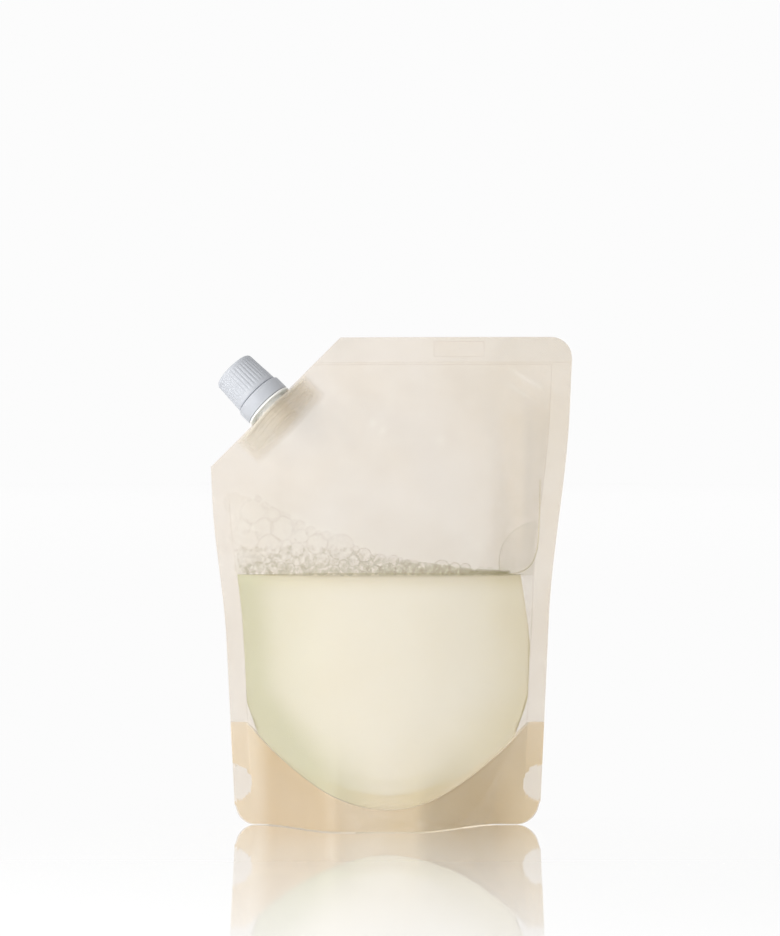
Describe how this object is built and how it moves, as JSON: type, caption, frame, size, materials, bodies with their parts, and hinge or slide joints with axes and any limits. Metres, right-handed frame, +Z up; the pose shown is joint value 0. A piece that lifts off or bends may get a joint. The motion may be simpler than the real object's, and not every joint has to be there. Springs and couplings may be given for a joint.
{
  "type": "hair and body wash refill pouch",
  "caption": "Clear stand-up refill pouch with a corner spout and ribbed screw cap, half full of pale liquid soap under foam.",
  "frame": {"origin": "on the floor, under the middle of the standing pouch", "axes": "+X to the right as the front is seen, towards the side without the spout; +Y to the back; +Z up"},
  "size_m": [0.1665, 0.0708, 0.2243],
  "materials": {
    "film": "clear laminate film, slightly hazy",
    "gusset_film": "the same film in four layers, seen tan",
    "spout_plastic": "natural translucent polyethylene",
    "cap_plastic": "bluish white, satin",
    "liquid": "clear pale yellow liquid",
    "foam": "clear bubbles"
  },
  "bodies": {
    "pouch": {"front_panel": "film", "back_panel": "film", "bottom_gusset": "gusset_film", "spout": "spout_plastic", "body_wash": "liquid", "foam": "foam"},
    "tamper_band": {"tamper_band": "cap_plastic"},
    "cap": {"screw_cap": "cap_plastic"}
  },
  "joints": [
    {"name": "cap_turn", "type": "hinge", "parent": "pouch", "child": "tamper_band", "pos_m": [-0.05459, 0.00652, 0.19194], "axis": [-0.6964, 0.1736, 0.6964], "range_deg": [0, 1440]},
    {"name": "cap_lift", "type": "slide", "parent": "tamper_band", "child": "cap", "axis": [-0.6964, 0.1736, 0.6964], "range_m": [0, 0.0161]}
  ],
  "couplings": [
    {"joint": "cap_lift", "follows": "cap_turn", "m_per_rad": 0.00063662}
  ]
}
